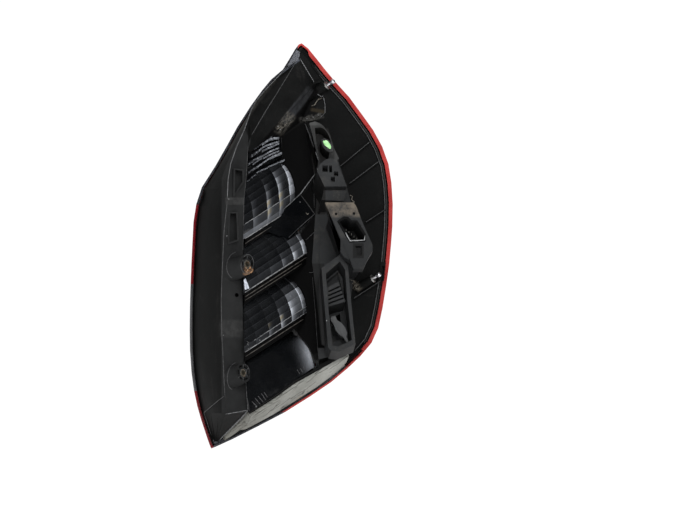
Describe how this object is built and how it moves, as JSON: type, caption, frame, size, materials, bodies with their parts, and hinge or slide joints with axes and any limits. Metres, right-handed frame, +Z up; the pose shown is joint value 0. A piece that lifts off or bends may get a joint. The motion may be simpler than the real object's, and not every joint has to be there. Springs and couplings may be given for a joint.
{
  "type": "tail light cluster",
  "caption": "Rear lamp cluster seen from its fitting side, with faceted reflector bowls, a bulb carrier with connector socket, screw bosses and ball studs.",
  "frame": {"origin": "centre of the upper screw boss, on its mouth", "axes": "+X to the right and +Z up as seen from the fitting side, +Y from the car body towards the lens; Z is the lamp's long axis"},
  "size_m": [0.2113, 0.1416, 0.4216],
  "materials": {
    "housing": "satin black moulding, dusty and scratched",
    "reflector": "glossy black faceted moulding",
    "lens_red": "clear gloss, deep red",
    "lens_clear": "clear gloss, slightly smoky",
    "seal": "matt black",
    "carrier": "dark grey moulding with dust",
    "connector": "dark grey moulding",
    "contacts": "tarnished",
    "foam": "matt grey-beige foam, soiled",
    "pad": "woven grey pad",
    "stud": "bright plated steel",
    "washer": "dull steel",
    "insert": "brass with rust stains",
    "bulb_cap": "plated brass",
    "bulb_glass": "clear glass"
  },
  "bodies": {
    "root": {"housing": "housing", "reflector": "reflector", "lens_red": "lens_red", "lens_clear": "lens_clear", "lens_seal": "seal", "bulb_carrier": "carrier", "carrier_gasket": "seal", "connector_shell": "connector", "connector_pins": "contacts", "contact_strip": "contacts", "latch": "connector", "foam_strip": "foam", "tip_pad": "pad", "ball_stud_upper": "stud", "ball_stud_lower": "stud", "stud_washer_upper": "washer", "stud_washer_lower": "washer", "screw_insert_upper": "insert", "screw_insert_lower": "insert", "bulb_cap_1": "bulb_cap", "bulb_cap_2": "bulb_cap", "bulb_cap_3": "bulb_cap", "bulb_cap_4": "bulb_cap", "bulb_glass_1": "bulb_glass", "bulb_glass_2": "bulb_glass", "bulb_glass_3": "bulb_glass", "bulb_glass_4": "bulb_glass"}
  },
  "joints": []
}
